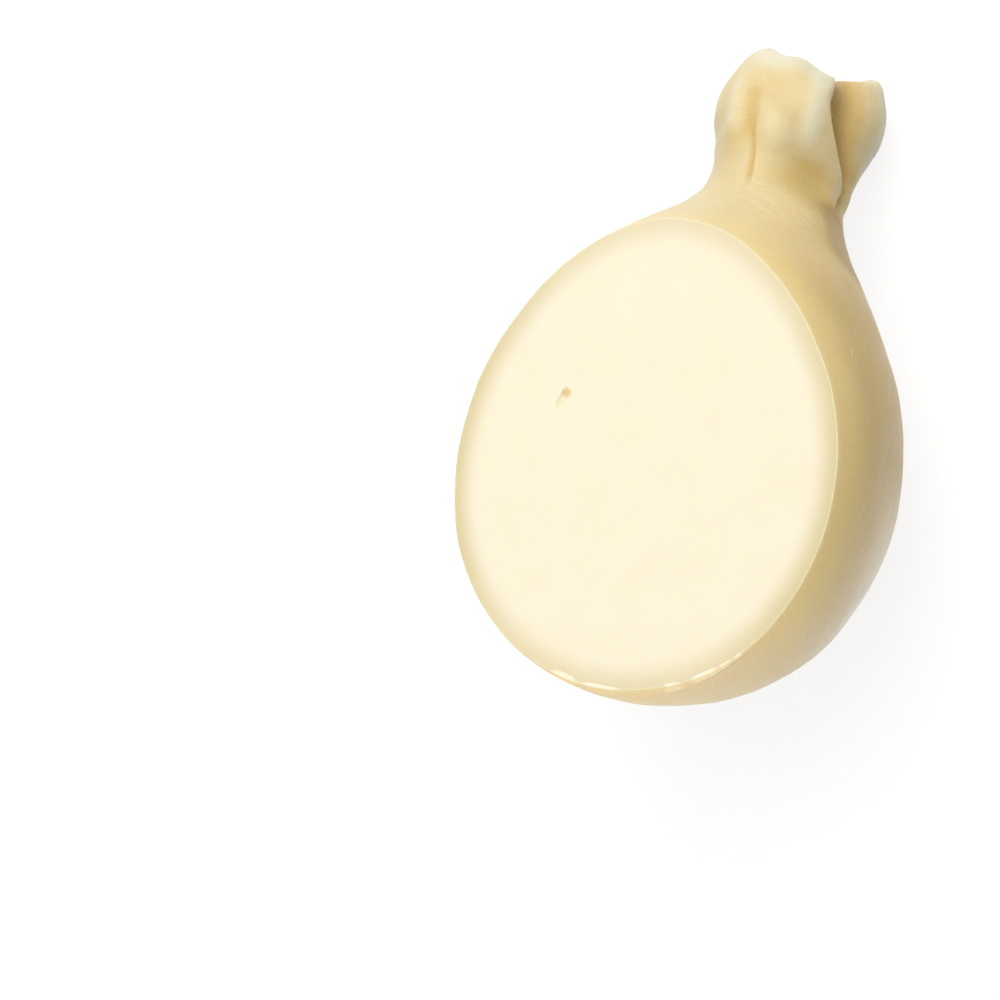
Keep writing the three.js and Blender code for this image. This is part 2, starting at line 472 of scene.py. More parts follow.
@dataclass
class Cut:
    """The slanting cut, its flat face and the thin burr that the knife left along its edge."""

    distance: float = 17.0
    bearing: float = -38.9
    slant: float = -24.0
    weld_gap: float = 0.25
    strip_ring: float = 0.1
    strip_width: float = 1.8
    strip_bearing: float = -170.0
    strip_turn: float = 30.0
    strip_shown: float = 0.3
    strip_fall: float = 0.85
    strip_blend: float = 5.0
    burr_width: float = 0.24
    burr_rings: tuple[float, ...] = (0.2, 0.28, 0.36)
    burr_rise: float = 0.09
    burr_size: float = 6.0
    burr_shift: float = 5.0
    width_mean: float = 0.8
    width_swing: float = 0.7
    width_limits: Pair = (0.35, 1.5)
    crest_mean: float = 0.7
    crest_swing: float = 0.5
    rim_rings: tuple[float, ...] = (2.6, 4.4, 7.0, 10.5)
    inner_shares: tuple[float, ...] = (0.88, 0.86, 0.84, 0.82, 0.8, 0.76, 0.7, 0.6, 0.5, 0.3)
    flecks: tuple[Fleck, ...] = (
        Fleck(168.8, 3.9, 1.3),
        Fleck(-179.6, 5.6, 1.0),
        Fleck(-158.0, 2.3, 0.7),
        Fleck(-148.3, 3.8, 0.8),
        Fleck(-142.3, 1.6, 0.5),
        Fleck(-137.5, 0.9, 0.5),
    )
    fleck_square: int = 6
    face_size: float = 26.0
    face_rise: float = 0.05
    face_shift: float = 7.0

    def frame(self) -> Matrix:
        """Gives the frame of the face.

        Returns:
            Its X climbs to the head, its Y goes across and its Z looks out.
        """
        normal = Matrix.Rotation(math.radians(self.bearing), 3, "Z") @ (
            Matrix.Rotation(math.radians(-self.slant), 3, "Y") @ Vector((1.0, 0.0, 0.0))
        )
        along = Vector((0.0, 0.0, 1.0))
        along = (along - along.project(normal)).normalized()
        turned = Matrix((along, normal.cross(along), normal)).transposed()
        return Matrix.Translation(normal * self.distance) @ turned.to_4x4()

    def make(self, skin: bpy.types.Object) -> np.ndarray:
        """Cuts the cheese, closes it with a ringed face and raises the burr.

        Args:
            skin: The whole cheese.

        Returns:
            The outline of the paste, as rows of three numbers in the face's frame.
        """
        self.slice_skin(skin)
        outline = self.ring_face(skin)
        self.raise_burr(skin, outline)
        return self.set_in(outline)

    def strip(self, bearing: np.ndarray) -> np.ndarray:
        """Gives how wide the rounded strip of rind is between the skin and the burr."""
        apart = turn_between(bearing, self.strip_bearing) / self.strip_turn
        return self.strip_width * np.exp(-(apart**2))

    def set_in(self, outline: np.ndarray) -> np.ndarray:
        """Draws the outline of the face in by the strip of rind.

        Args:
            outline: The outline of the face, in the face's frame.

        Returns:
            The outline of the paste.
        """
        reach = np.hypot(outline[:, 0], outline[:, 1])
        strip = self.strip(np.degrees(np.arctan2(outline[:, 1], outline[:, 0])))
        drawn = outline.copy()
        drawn[:, :2] *= ((reach - strip) / reach)[:, None]
        return drawn

    def slice_skin(self, skin: bpy.types.Object) -> None:
        """Takes away what lies beyond the plane of the cut and fills the opening with one face.

        Args:
            skin: The whole cheese.
        """
        place = self.frame()
        edit(skin)
        bpy.ops.mesh.select_all(action="SELECT")
        bpy.ops.mesh.bisect(
            plane_co=place.translation,
            plane_no=place.col[2].to_3d(),
            use_fill=True,
            clear_outer=True,
        )
        close_edit()
        self.pick_face(skin)
        bpy.ops.object.mode_set(mode="EDIT")
        bpy.ops.mesh.remove_doubles(threshold=self.weld_gap)
        close_edit()

    def pick_face(self, skin: bpy.types.Object) -> bpy.types.MeshPolygon:
        """Selects the one large face of the cut alone.

        Args:
            skin: The cut cheese.

        Returns:
            The face.
        """
        edit(skin)
        close_edit()
        face = max(skin.data.polygons, key=lambda polygon: polygon.loop_total)
        face.select = True
        return face

    def ring_face(self, skin: bpy.types.Object) -> np.ndarray:
        """Insets the face into rings, close together at its edge, down to one point.

        Args:
            skin: The cut cheese.

        Returns:
            The outline of the face, in the face's frame.
        """
        face = self.pick_face(skin)
        face.material_index = Zone.PASTE
        corners = np.array([skin.data.vertices[i].co for i in face.vertices])
        outline = self.to_face(corners)
        bpy.ops.object.mode_set(mode="EDIT")
        done = 0.0
        for depth in (self.strip_ring, *self.burr_rings, *self.rim_rings):
            bpy.ops.mesh.inset(thickness=depth - done, depth=0.0)
            done = depth
        centre = Vector(corners.mean(axis=0))
        for share in self.inner_shares:
            bpy.ops.mesh.extrude_region_move()
            bpy.ops.transform.resize(value=(share,) * 3, center_override=centre)
        bpy.ops.mesh.merge(type="CENTER")
        close_edit()
        return outline

    def to_face(self, points: np.ndarray) -> np.ndarray:
        """Turns places of the upright cheese into places along, across and out of the face."""
        back = np.array(self.frame().inverted())
        return points @ back[:3, :3].T + back[:3, 3]

    def from_face(self, points: np.ndarray) -> np.ndarray:
        """Turns places along, across and out of the face into places of the upright cheese."""
        place = np.array(self.frame())
        return points @ place[:3, :3].T + place[:3, 3]

    def reach(self, outline: np.ndarray, bearing: np.ndarray) -> np.ndarray:
        """Gives how far the face reaches from its middle at bearings on it.

        Args:
            outline: The outline of the face.
            bearing: Bearings on the face in degrees.

        Returns:
            Distances in millimetres.
        """
        turns = np.degrees(np.arctan2(outline[:, 1], outline[:, 0]))
        order = np.argsort(turns)
        reaches = np.hypot(outline[:, 0], outline[:, 1])
        return np.interp(bearing, turns[order], reaches[order], period=360.0)

    def raise_burr(self, skin: bpy.types.Object, outline: np.ndarray) -> None:
        """Draws the burr's rings to an uneven width, lifts them and names their zone.

        Args:
            skin: The cut cheese with a ringed face.
            outline: The outline of the face.
        """
        mesh = skin.data
        placed = self.to_face(positions(mesh))
        on_face = np.zeros(len(placed), dtype=bool)
        for polygon in mesh.polygons:
            if polygon.material_index == Zone.PASTE:
                on_face[list(polygon.vertices)] = True
        bearing = np.degrees(np.arctan2(placed[:, 1], placed[:, 0]))
        radius = np.hypot(placed[:, 0], placed[:, 1])
        depth = self.reach(outline, bearing) - radius
        widest = self.burr_rings[-1]
        limit = (widest + self.rim_rings[0]) / 2.0

        ragged = lumps(placed, self.burr_size, self.burr_shift)
        width = self.width_mean + self.width_swing * ragged
        width = self.burr_width * np.clip(width, *self.width_limits)
        crumb = np.zeros_like(width)
        spill = np.zeros_like(width)
        for fleck in self.flecks:
            apart = turn_between(bearing, fleck.bearing) / fleck.half_turn
            shown = np.exp(-(apart**self.fleck_square))
            width = np.maximum(width, fleck.inward * shown)
            spill = np.maximum(spill, fleck.outward * shown)
            crumb = np.maximum(crumb, shown)
        strip = self.strip(bearing)
        fall = self.strip_fall * strip
        share = np.clip((depth - self.strip_ring) / (widest - self.strip_ring), 0.0, 1.0)
        set_in = np.clip(depth / self.strip_ring, 0.0, 1.0) * np.maximum(strip, self.strip_ring)
        drawn = radius + depth - set_in - width * share + spill * (1.0 - share)
        crest = self.crest_mean + self.crest_swing * ragged + crumb
        lift = self.burr_rise * np.sin(share * math.pi) * crest
        on_edge = on_face & (depth < limit)
        moved = placed.copy()
        moved[on_edge, :2] *= (drawn / radius)[on_edge, None]
        moved[on_edge, 2] += np.maximum(lift[on_edge], 0.0)
        outer = on_edge & (depth < self.strip_ring / 2.0)
        beside = ~on_face & (placed[:, 2] > -self.strip_blend)
        pressed = fall * (1.0 + placed[:, 2] / self.strip_blend)
        moved[outer | beside, 2] -= pressed[outer | beside]
        inside = on_face & (depth >= limit)
        moved[inside, 2] += self.face_rise * lumps(placed[inside], self.face_size, self.face_shift)
        set_positions(mesh, self.from_face(moved))
        store(mesh, Mark.CRUMB, crumb)
        for polygon in mesh.polygons:
            corners = list(polygon.vertices)
            if polygon.material_index == Zone.PASTE and depth[corners].max() < limit:
                on_strip = depth[corners].max() < (self.strip_ring + self.burr_rings[0]) / 2.0
                wide = strip[corners].max() > self.strip_shown
                polygon.material_index = Zone.RIND if on_strip and wide else Zone.BURR


@dataclass
class Eye:
    """A small hole in the paste that opens in the cut face and trails off to one side."""

    along: float = 18.2
    across: float = 30.8
    hole: Triple = (1.9, 1.85, 2.0)
    trail: Triple = (3.8, 1.5, 0.8)
    trail_middle: float = 2.8
    heading: Pair = (-5.6, 3.0)
    segments: int = 48
    rings: int = 32

    def carve(self, skin: bpy.types.Object, cut: Cut) -> None:
        """Takes the hole out of the face.

        Args:
            skin: The cut cheese.
            cut: The cut whose face the hole opens in.
        """
        cutter = self.cutter(cut)
        select_only(skin)
        carve = skin.modifiers.new("eye", "BOOLEAN")
        carve.operation = "DIFFERENCE"
        carve.solver = "EXACT"
        carve.object = cutter
        bpy.ops.object.modifier_apply(modifier=carve.name)
        bpy.data.objects.remove(cutter)
        along, across, out = cut.to_face(positions(skin.data)).T
        apart = np.hypot(along - self.along, across - self.across)
        inside = (apart < self.trail_middle + self.trail[0]) & (-out <= self.hole[2])
        store(skin.data, Mark.DEPTH, np.where(inside, np.maximum(-out, 0.0), 0.0))

    @staticmethod
    def ray_reach(rays: np.ndarray, sizes: Triple, ahead: float) -> np.ndarray:
        """Gives how far rays from the hole's middle go inside an egg-shaped hollow.

        Args:
            rays: Unit directions, the first number along the trail.
            sizes: Half length, half width and depth of the hollow.
            ahead: How far the hollow's middle lies along the trail.

        Returns:
            Distances in millimetres.
        """
        scaled = rays / np.array(sizes)
        offset = np.array((ahead / sizes[0], 0.0, 0.0))
        square = (scaled**2).sum(axis=1)
        half = scaled @ offset
        return (half + np.sqrt(half**2 + square * (1.0 - offset @ offset))) / square

    def cutter(self, cut: Cut) -> bpy.types.Object:
        """Shapes a round hole with a shallow trail to one side.

        Args:
            cut: The cut whose face the hole opens in.

        Returns:
            The shape to take away.
        """
        bpy.ops.object.select_all(action="DESELECT")
        bpy.ops.mesh.primitive_uv_sphere_add(
            segments=self.segments, ring_count=self.rings, radius=1.0
        )
        cutter = bpy.context.object
        cutter.name = cutter.data.name = "eye_cutter"
        rays = positions(cutter.data)
        reach = np.maximum(
            self.ray_reach(rays, self.hole, 0.0),
            self.ray_reach(rays, self.trail, self.trail_middle),
        )
        drop = rays * reach[:, None]
        ahead = np.array(self.heading) / math.hypot(*self.heading)
        points = np.stack(
            (
                self.along + drop[:, 0] * ahead[0] - drop[:, 1] * ahead[1],
                self.across + drop[:, 0] * ahead[1] + drop[:, 1] * ahead[0],
                drop[:, 2],
            ),
            axis=1,
        )
        set_positions(cutter.data, cut.from_face(points))
        for slot in Zone:
            cutter.data.materials.append(bpy.data.materials.get(slot.name.lower()))
        for polygon in cutter.data.polygons:
            polygon.material_index = Zone.PASTE
        return cutter


@dataclass
class Rest:
    """How the cheese lies: the bearing that looks up, how far the head dips and its small flats."""

    bearing_up: float = -43.7
    head_dip: float = 22.6
    flat: float = 0.8

    def lay(self, skin: bpy.types.Object, belly: float) -> None:
        """Lays the upright cheese on its side where the solid lies and presses its flats.

        Args:
            skin: The cut cheese, upright, in millimetres.
            belly: The belly's radius in millimetres.
        """
        low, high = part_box(CAD_NODE)
        middle = Vector(
            ((low.x + high.x) / 2.0, low.y + belly * MM, low.z + (belly - self.flat) * MM)
        )
        turn = Matrix.Rotation(-math.pi / 2.0 - math.radians(self.head_dip), 4, "X")
        turn @= Matrix.Rotation(-math.pi / 2.0 - math.radians(self.bearing_up), 4, "Z")
        skin.matrix_world = Matrix.Translation(middle) @ turn @ Matrix.Scale(MM, 4)
        select_only(skin)
        bpy.ops.object.transform_apply(location=True, rotation=True, scale=True)
        points = positions(skin.data)
        points[:, 2] = np.maximum(points[:, 2], low.z)
        set_positions(skin.data, points)


# The finishes


class Wire:
    """A shader socket on which Python's operators work, each adding one Math node."""

    def __init__(self, shader: "Shader", socket: bpy.types.NodeSocket) -> None:
        """Keeps the socket and the shader that it belongs to."""
        self.shader = shader
        self.socket = socket

    def __add__(self, other: "Wire | float") -> "Wire":
        """Adds."""
        return self.shader.maths("ADD", self, other)

    def __radd__(self, other: float) -> "Wire":
        """Adds to a number."""
        return self.shader.maths("ADD", other, self)

    def __sub__(self, other: "Wire | float") -> "Wire":
        """Takes away."""
        return self.shader.maths("SUBTRACT", self, other)

    def __rsub__(self, other: float) -> "Wire":
        """Takes away from a number."""
        return self.shader.maths("SUBTRACT", other, self)

    def __mul__(self, other: "Wire | float") -> "Wire":
        """Multiplies."""
        return self.shader.maths("MULTIPLY", self, other)

    def __rmul__(self, other: float) -> "Wire":
        """Multiplies a number."""
        return self.shader.maths("MULTIPLY", other, self)

    def ease(self, low: float, high: float, top: float = 1.0) -> "Wire":
        """Eases from 0 at low to the top at high; low may lie above high.

        Args:
            low: The value that gives 0.
            high: The value that gives the top.
            top: The most that it gives.

        Returns:
            The eased value.
        """
        ends = (low, high, 0.0, top) if low < high else (high, low, top, 0.0)
        names = ("From Min", "From Max", "To Min", "To Max")
        return self.shader.node(
            "ShaderNodeMapRange",
            {"interpolation_type": "SMOOTHSTEP"},
            {"Value": self, **dict(zip(names, ends))},
        )


Value = Wire | float | Triple


@dataclass(frozen=True)
class Pattern:
    """Soft noise: its lumps per unit, finer layers and their strength, stretch, and how it shows."""

    scale: float
    layers: float
    strength: float = 0.5
    stretch: Triple | None = None
    shown: Pair = (0.0, 1.0)
    share: float = 1.0

    def shows(self, made: Wire) -> Wire:
        """Says where the noise shows, from 0 to its whole share."""
        return made.ease(*self.shown, self.share)


class Shader:
    """A node material under construction, ending in one Principled shader."""

    def __init__(self, name: str) -> None:
        """Starts a material.

        Args:
            name: The material's name.
        """
        self.material = bpy.data.materials.new(name)
        self.material.use_nodes = True
        self.tree = self.material.node_tree
        self.surface = self.tree.nodes["Principled BSDF"]

    def feed(self, socket: bpy.types.NodeSocket, value: Value) -> None:
        """Links a wire to a socket, or sets the socket to a number or a colour.

        Args:
            socket: The input.
            value: What it gets.
        """
        if isinstance(value, Wire):
            self.tree.links.new(value.socket, socket)
        elif isinstance(value, tuple) and socket.type == "RGBA":
            socket.default_value = (*value, 1.0)
        else:
            socket.default_value = value

    def node(
        self,
        kind: str,
        settings: dict[str, Any] | None = None,
        inputs: dict[str | int, Value] | None = None,
        output: str | int = 0,
    ) -> Wire:
        """Adds a node of any kind.

        Args:
            kind: The node's type.
            settings: Its own settings, which are set first.
            inputs: Values or wires for its sockets, by name or number.
            output: The socket that is used.

        Returns:
            The output.
        """
        made = self.tree.nodes.new(kind)
        for name, value in (settings or {}).items():
            setattr(made, name, value)
        for name, value in (inputs or {}).items():
            self.feed(made.inputs[name], value)
        return Wire(self, made.outputs[output])

    def maths(self, operation: str, first: Value, second: Value) -> Wire:
        """Adds one Math node."""
        return self.node("ShaderNodeMath", {"operation": operation}, {0: first, 1: second})

    def mix(self, share: Value, first: Value, second: Value) -> Wire:
        """Mixes two colours, all of the first at a share of 0 and of the second at 1."""
        settings = {"data_type": "RGBA", "clamp_factor": True}
        return self.node("ShaderNodeMix", settings, {0: share, 6: first, 7: second}, 2)

    def place(self) -> Wire:
        """Gives Object coordinates."""
        return self.node("ShaderNodeTexCoord", output="Object")

    def mark(self, mark: Mark, output: str = "Fac") -> Wire:
        """Gives one of the cheese's own point attributes."""
        return self.node("ShaderNodeAttribute", {"attribute_name": mark.value}, output=output)

    def height(self, grain: Wire) -> Wire:
        """Gives the height that each point had on the upright cheese."""
        return self.node("ShaderNodeSeparateXYZ", None, {0: grain}, "Z")

    def stretch(self, vector: Wire, factors: Triple) -> Wire:
        """Scales a vector along each axis."""
        settings = {"operation": "MULTIPLY"}
        return self.node("ShaderNodeVectorMath", settings, {0: vector, 1: factors})

    def noise(self, vector: Wire, pattern: Pattern) -> Wire:
        """Gives soft noise from 0 to 1.

        Args:
            vector: Coordinates.
            pattern: What the noise is like.

        Returns:
            The noise.
        """
        if pattern.stretch is not None:
            vector = self.stretch(vector, pattern.stretch)
        values = {
            "Vector": vector,
            "Scale": pattern.scale,
            "Detail": pattern.layers,
            "Roughness": pattern.strength,
        }
        return self.node("ShaderNodeTexNoise", None, values)

    def bump(self, height: Wire, depth: float, under: Wire | None = None) -> Wire:
        """Turns a height from 0 to 1 into a bumped normal.

        Args:
            height: The height.
            depth: How deep a height of 1 is, in metres.
            under: A bump that lies under this one.

        Returns:
            The normal.
        """
        values: dict[str | int, Value] = {"Strength": 1.0, "Distance": depth, "Height": height}
        if under is not None:
            values["Normal"] = under
        return self.node("ShaderNodeBump", None, values)

    def finish(self, **inputs: Value) -> bpy.types.Material:
        """Feeds the Principled shader's sockets, named with underscores, and gives the material.

        Args:
            inputs: Values or wires.

        Returns:
            The finished material.
        """
        for name, value in inputs.items():
            self.feed(self.surface.inputs[name.replace("_", " ")], value)
        return self.material

    def second(self, share: Wire, colour: Colour, roughness: float) -> None:
        """Lays a second plain Principled shader beside the first.

        Args:
            share: Where the second one shows.
            colour: Its colour.
            roughness: Its roughness.
        """
        values = {"Base Color": colour, "Roughness": roughness, "Specular IOR Level": 0.0}
        other = self.node("ShaderNodeBsdfPrincipled", None, values)
        first = Wire(self, self.surface.outputs[0])
        both = self.node("ShaderNodeMixShader", None, {0: share, 1: first, 2: other})
        self.feed(self.tree.nodes["Material Output"].inputs["Surface"], both)


@dataclass(frozen=True)
class Flesh:
    """How light travels inside the cheese."""

    weight: float = 0.7
    radius: Triple = (1.0, 0.75, 0.45)
    scale: float = 0.0028

    def sockets(self) -> dict[str, Value]:
        """Gives the shader's sockets that are the same all over.

        Returns:
            Their values by name, with underscores.
        """
        return {
            "Subsurface_Weight": self.weight,
            "Subsurface_Radius": self.radius,
            "Subsurface_Scale": self.scale,
        }


@dataclass(frozen=True)
class Speck:
    """A small mark on the rind: its place, the skin's radius there, and its half width and length."""

    bearing: float
    height: float
    radius: float
    half_width: float
    half_length: float
    fade: Pair = (1.3, 0.5)

    def shown(self, shader: Shader, grain: Wire) -> Wire:
        """Says how strongly the mark shows.

        Args:
            shader: The rind's shader.
            grain: Where each point of the skin came from.

        Returns:
            A number from 0 to 1.
        """
        turn = math.radians(self.bearing)
        scale = (self.radius / self.half_width,) * 2 + (1.0 / self.half_length,)
        spot = (scale[0] * math.cos(turn), scale[1] * math.sin(turn), scale[2] * self.height)
        near = shader.stretch(grain, scale)
        apart = shader.node(
            "ShaderNodeVectorMath", {"operation": "DISTANCE"}, {0: near, 1: spot}, "Value"
        )
        return apart.ease(*self.fade)


@dataclass(frozen=True)
class RindFinish:
    """Smooth waxy straw rind with strokes and scratches, and painted light and shade: deeper on the
    shaded side, tan in hollows, paler on ridges, foot and flanks, glowing near the cut.

    Of each pair of heights or widths in millimetres, sides, which are cosines of the turn from a
    bearing, or tones, which the folds leave, a colour starts at the first and is full at the second.
    """

    straw: Colour = (0.79, 0.64, 0.33)
    # Painted shade: the side of the rind that is turned from the light is deeper.
    shaded_side: Colour = (0.67, 0.46, 0.135)
    deep_bearing: float = 45.0
    deep_side: Pair = (0.4, 1.0)
    deep_heights: Pair = (-72.0, 16.0)
    deep_top: Pair = (98.0, 62.0)
    # Painted light: paler straw over the foot and the front of the neck, and painted sheen on the lower
    # flank.
    painted_light: Colour = (0.92, 0.70, 0.35)
    foot_heights: Pair = (-26.0, -62.0)
    foot_share: float = 0.95
    side_heights: Pair = (22.0, -14.0)
    side_low: float = 0.45
    side_base: float = 0.2
    front_bearing: float = 6.0
    front_side: Pair = (0.85, 1.0)
    front_heights: Pair = (48.0, 70.0)
    front_top: Pair = (104.0, 88.0)
    front_share: float = 0.42
    blot: Colour = (0.70, 0.50, 0.20)
    blotches: Pattern = Pattern(32.0, 3.0, shown=(0.45, 0.75), share=0.25)
    # Painted shade: gold, then tan, where a fold's tone is below 0, in creases, hollows and on the
    # shaded neck.
    shade_gold: Colour = (0.72, 0.51, 0.16)
    gold_tones: Pair = (0.0, 0.6)
    gold_share: float = 0.95
    shade_tan: Colour = (0.50, 0.31, 0.06)
    tan_tones: Pair = (0.5, 1.2)
    # Pale strokes, streaks and specks of the rind, and painted highlights on ridges, thin rims and the
    # head's pores.
    pale_and_highlight: Colour = (0.84, 0.79, 0.59)
    pale_tones: Pair = (0.0, 1.0)
    pale_share: float = 0.9
    # Painted light near the cut: a yellower rind and a faint glow, where light comes through the paste.
    edge: Colour = (0.85, 0.67, 0.285)
    edge_widths: Pair = (21.0, 0.0)
    edge_share: float = 0.75
    edge_top: Pair = (84.0, 40.0)
    edge_foot: Pair = (-60.0, -34.0)
    glow: Colour = (0.07, 0.05, 0.012)
    lip: Colour = (0.77, 0.67, 0.40)
    lip_widths: Pair = (2.6, 0.2)
    lip_share: float = 0.6
    scratch: Colour = (0.96, 0.84, 0.57)
    scratch_bearing: float = -8.0
    scratch_side: Pair = (0.82, 0.96)
    scratch_heights: Pair = (70.0, 78.0)
    scratch_top: Pair = (97.0, 88.0)
    scratches: Pattern = Pattern(1.0, 2.0, 0.6, (7.0, 7.0, 2.2), (0.55, 0.66), 0.6)
    drawn_bearing: float = 72.0
    drawn_side: Pair = (0.86, 1.0)
    strokes: Pattern = Pattern(1.0, 2.0, 0.6, (150.0, 150.0, 0.1), (0.45, 0.75))
    stroke_drawn: float = 0.25
    stroke_base: float = 0.15
    streaks: Pattern = Pattern(1.0, 1.0, 0.5, (110.0, 110.0, 0.06), (0.45, 0.65), 0.16)
    head_heights: Pair = (66.0, 84.0)
    pores: Pattern = Pattern(1500.0, 2.0, shown=(0.56, 0.74), share=0.32)
    dirt: Colour = (0.42, 0.29, 0.12)
    dark_specks: tuple[Speck, ...] = (
        Speck(43.7, 24.0, 66.0, 0.4, 0.5),
        Speck(103.9, -59.7, 37.0, 0.45, 0.45),
    )
    dark_share: float = 0.6
    light_specks: tuple[Speck, ...] = (
        Speck(53.6, 40.4, 58.0, 0.35, 0.6),
        Speck(32.75, 38.3, 58.0, 0.35, 2.2),
    )
    light_share: float = 0.5
    stroke_relief: float = 0.5
    stroke_depth: float = 0.00012
    pore_depth: float = 0.0003
    roughness: float = 0.34
    roughness_swing: float = 0.1
    coat: float = 0.15
    coat_roughness: float = 0.2
    polish: float = 0.7
    polish_view: Pair = (0.4, 0.75)
    polish_top: Pair = (24.0, -8.0)
    polish_foot: Pair = (-50.0, -16.0)
    flesh: Flesh = field(default_factory=Flesh)

    def material(self) -> bpy.types.Material:
        """Builds the rind's material.

        Returns:
            The material.
        """
        shader = Shader("rind")
        place = shader.place()
        grain = shader.mark(Mark.GRAIN, "Vector")
        tone = shader.mark(Mark.TONE)
        edge = shader.mark(Mark.EDGE)
        height = shader.height(grain)
        blotches = shader.noise(place, self.blotches)
        strokes = shader.noise(grain, self.strokes)
        streaks = shader.noise(grain, self.streaks)
        scratches = shader.noise(grain, self.scratches)
        pores = shader.noise(place, self.pores)
        neck = self.faces(shader, grain, self.scratch_bearing).ease(*self.scratch_side)
        neck = neck * height.ease(*self.scratch_heights) * height.ease(*self.scratch_top)
        head = height.ease(*self.head_heights)

        # Painted shade on the side of the rind that is turned from the light.
        shaded_side_share = self.faces(shader, grain, self.deep_bearing).ease(*self.deep_side)
        shaded_side_share = shaded_side_share * height.ease(*self.deep_heights) * height.ease(*self.deep_top)
        drawn = self.faces(shader, grain, self.drawn_bearing).ease(*self.drawn_side) * (1.0 - head)
        # Where the painted light near the cut edge shows.
        near = edge.ease(*self.edge_widths) * height.ease(*self.edge_top) * height.ease(*self.edge_foot)
        facing = shader.node("ShaderNodeLayerWeight", output="Facing")
        polish = facing.ease(*self.polish_view) * height.ease(*self.polish_top)
        polish = polish * height.ease(*self.polish_foot)

        colour = shader.mix(shaded_side_share, self.straw, self.shaded_side)
        # Painted light on the foot and the neck's front, and painted sheen on the drawn lower flank.
        painted_light = height.ease(*self.foot_heights) * self.foot_share
        painted_light = painted_light + drawn * (height.ease(*self.side_heights) * self.side_low + self.side_base)
        front = self.faces(shader, grain, self.front_bearing).ease(*self.front_side)
        front = front * height.ease(*self.front_heights) * height.ease(*self.front_top)
        colour = shader.mix(painted_light + front * self.front_share, colour, self.painted_light)
        colour = shader.mix(self.blotches.shows(blotches), colour, self.blot)
        # Painted shade from tones below 0: gold, then tan in the deepest creases.
        hollow = tone * -1.0
        colour = shader.mix(hollow.ease(*self.gold_tones) * self.gold_share, colour, self.shade_gold)
        colour = shader.mix(hollow.ease(*self.tan_tones), colour, self.shade_tan)
        # Painted highlights from tones above 0, on ridges, the swell and thin rims.
        colour = shader.mix(tone.ease(*self.pale_tones) * self.pale_share, colour, self.pale_and_highlight)
        stroked = self.strokes.shows(strokes) * (drawn * self.stroke_drawn + self.stroke_base)
        colour = shader.mix(stroked, colour, self.pale_and_highlight)
        colour = shader.mix(self.streaks.shows(streaks) * drawn, colour, self.pale_and_highlight)
        colour = shader.mix(self.scratches.shows(scratches) * neck, colour, self.scratch)
        # Painted glints on the pores of the head.
        colour = shader.mix(self.pores.shows(pores) * head, colour, self.pale_and_highlight)
        colour = shader.mix(near * self.edge_share, colour, self.edge)
        colour = shader.mix(edge.ease(*self.lip_widths) * self.lip_share, colour, self.lip)
        for speck in self.dark_specks:
            colour = shader.mix(speck.shown(shader, grain) * self.dark_share, colour, self.dirt)
        for speck in self.light_specks:
            colour = shader.mix(speck.shown(shader, grain) * self.light_share, colour, self.pale_and_highlight)

        relief = strokes * (1.0 - neck) * self.stroke_relief + scratches * neck
        normal = shader.bump(relief, self.stroke_depth)
        normal = shader.bump(pores, self.pore_depth, normal)
        swing = self.roughness_swing
        gloss = self.roughness + blotches * swing + pores * swing
        return shader.finish(
            Base_Color=colour,
            Roughness=gloss,
            Normal=normal,
            # Painted glow of light near the cut, though the rind is no lamp.
            Emission_Color=shader.mix(near, (0.0, 0.0, 0.0), self.glow),
            Emission_Strength=1.0,
            Coat_Weight=polish * self.polish + self.coat,
            Coat_Roughness=self.coat_roughness,
            **self.flesh.sockets(),
        )

    @staticmethod
    def faces(shader: Shader, grain: Wire, bearing: float) -> Wire:
        """Says how squarely each point of the skin faces a bearing.

        Args:
            shader: The rind's shader.
            grain: Where each point of the skin came from.
            bearing: The bearing in degrees.

        Returns:
            The cosine of the turn between the two.
        """
        turn = math.radians(bearing)
        ahead = (math.cos(turn), math.sin(turn), 0.0)
        settings = {"operation": "DOT_PRODUCT"}
        return shader.node("ShaderNodeVectorMath", settings, {0: grain, 1: ahead}, "Value")


